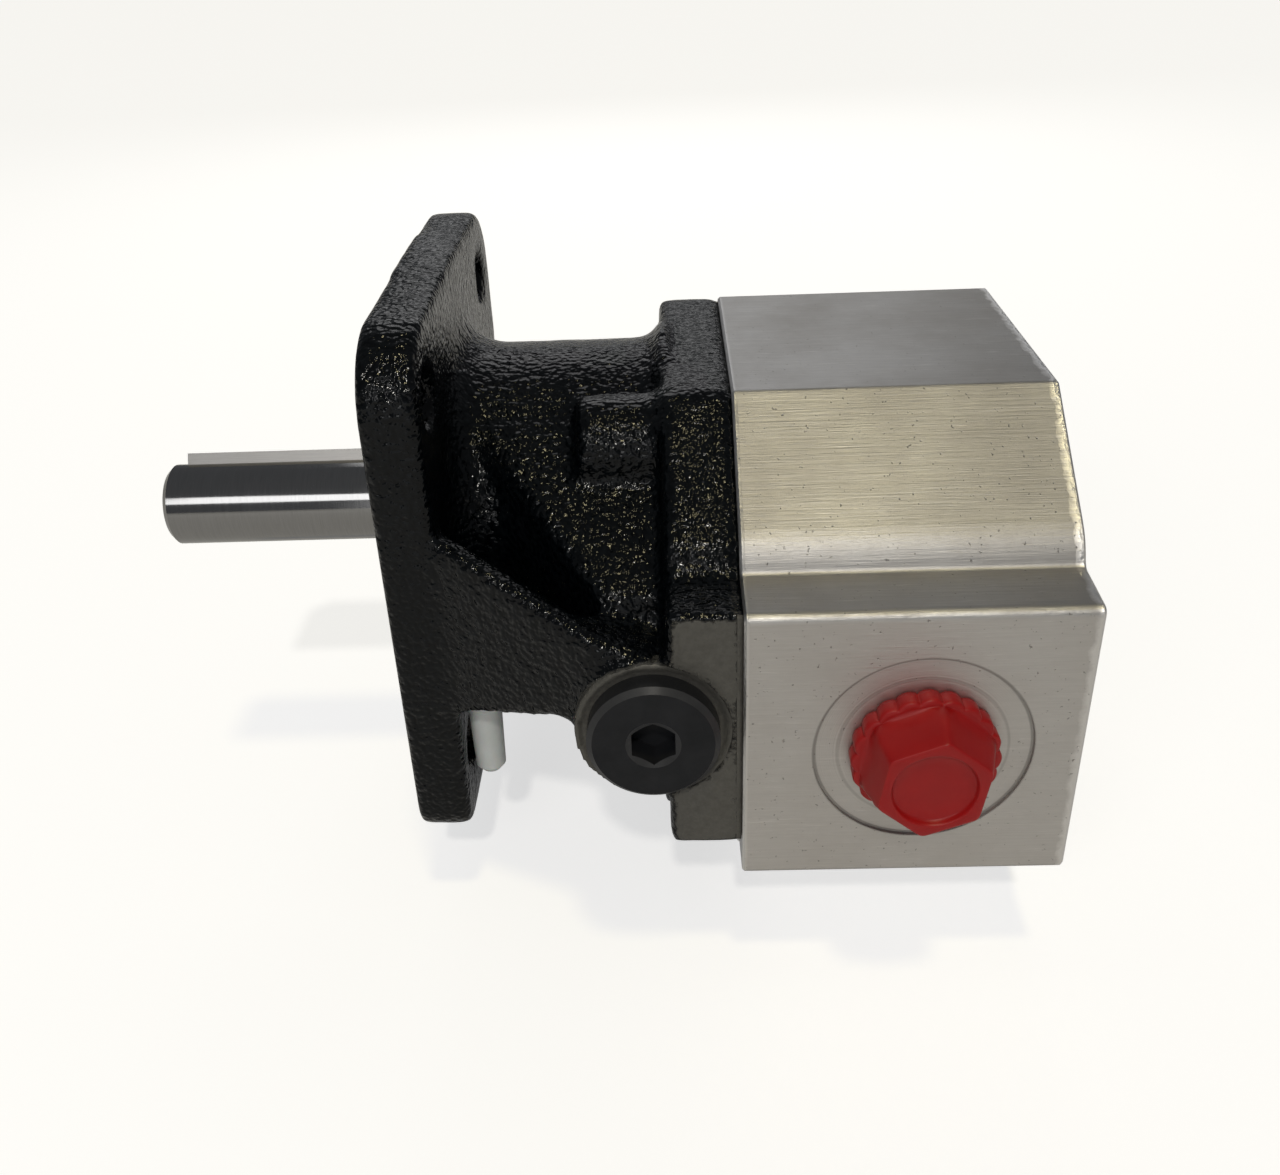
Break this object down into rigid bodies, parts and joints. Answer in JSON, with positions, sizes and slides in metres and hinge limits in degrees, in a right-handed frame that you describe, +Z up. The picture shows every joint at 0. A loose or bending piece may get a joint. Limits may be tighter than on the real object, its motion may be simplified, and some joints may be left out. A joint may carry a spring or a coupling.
{
  "type": "hydraulic gear pump",
  "caption": "External gear pump: cast mounting flange and neck with a keyed shaft and relief valve, in front of an aluminium gear housing with side ports.",
  "frame": {"origin": "where the drive shaft's axis crosses the mounting flange's front face", "axes": "+X along the shaft towards the rear cover, -Y towards the outlet port and relief valve, +Z up from the idler gear towards the drive gear"},
  "size_m": [0.1976, 0.164, 0.1357],
  "materials": {
    "black_paint": "gloss black paint over sand-cast iron",
    "brushed_aluminium": "satin, brushed along the shaft axis",
    "bearing_aluminium": "machined",
    "bronze": "machined bronze",
    "rubber": "smooth nitrile",
    "bearing_steel": "ground and polished",
    "cage_polymer": "glass-filled nylon",
    "black_oxide": "black oxide, satin",
    "valve_steel": "hardened and ground",
    "red_plastic": "moulded polyethylene",
    "white_plastic": "moulded nylon",
    "ground_steel": "ground steel",
    "key_steel": "cold-drawn steel",
    "gear_steel": "case-hardened, ground teeth"
  },
  "bodies": {
    "pump_body": {"front_housing": "black_paint", "gear_housing": "brushed_aluminium", "front_bearing_block": "bearing_aluminium", "rear_thrust_plate": "bronze", "section_seal": "rubber", "shaft_seal": "rubber", "bearing_outer_ring": "bearing_steel", "bearing_retaining_ring": "black_oxide", "assembly_screws": "black_oxide", "dowel_pins": "bearing_steel", "valve_plug": "black_oxide", "valve_plug_seal": "rubber", "valve_seat": "valve_steel", "valve_spring": "valve_steel", "outlet_port_plug": "red_plastic", "drain_plug": "white_plastic", "bushing_drive_front": "bronze", "bushing_idler_front": "bronze", "bushing_drive_rear": "bronze", "bushing_idler_rear": "bronze"},
    "drive_rotor": {"drive_shaft": "ground_steel", "shaft_key": "key_steel", "gear_key": "key_steel", "drive_gear": "gear_steel", "bearing_inner_ring": "bearing_steel"},
    "idler_rotor": {"idler_shaft": "ground_steel", "idler_gear": "gear_steel"},
    "ball_cage": {"bearing_balls": "bearing_steel", "bearing_cage": "cage_polymer"},
    "relief_poppet": {"valve_poppet": "valve_steel"}
  },
  "joints": [
    {"name": "drive_spin", "type": "hinge", "parent": "pump_body", "child": "drive_rotor", "pos_m": [0, 0, 0], "axis": [1, 0, 0], "continuous": true},
    {"name": "idler_spin", "type": "hinge", "parent": "pump_body", "child": "idler_rotor", "pos_m": [0.1058, 0, -0.04127], "axis": [1, 0, 0], "continuous": true},
    {"name": "cage_spin", "type": "hinge", "parent": "pump_body", "child": "ball_cage", "pos_m": [0.0112, 0, 0], "axis": [1, 0, 0], "continuous": true},
    {"name": "relief_slide", "type": "slide", "parent": "pump_body", "child": "relief_poppet", "axis": [0, -1, 0], "range_m": [0, 0.003], "stiffness_N_per_m": 6000, "springref_m": -0.001, "deforming": ["valve_spring"]}
  ],
  "couplings": [
    {"joint": "idler_spin", "follows": "drive_spin", "ratio": -1},
    {"joint": "cage_spin", "follows": "drive_spin", "ratio": 0.3821}
  ]
}
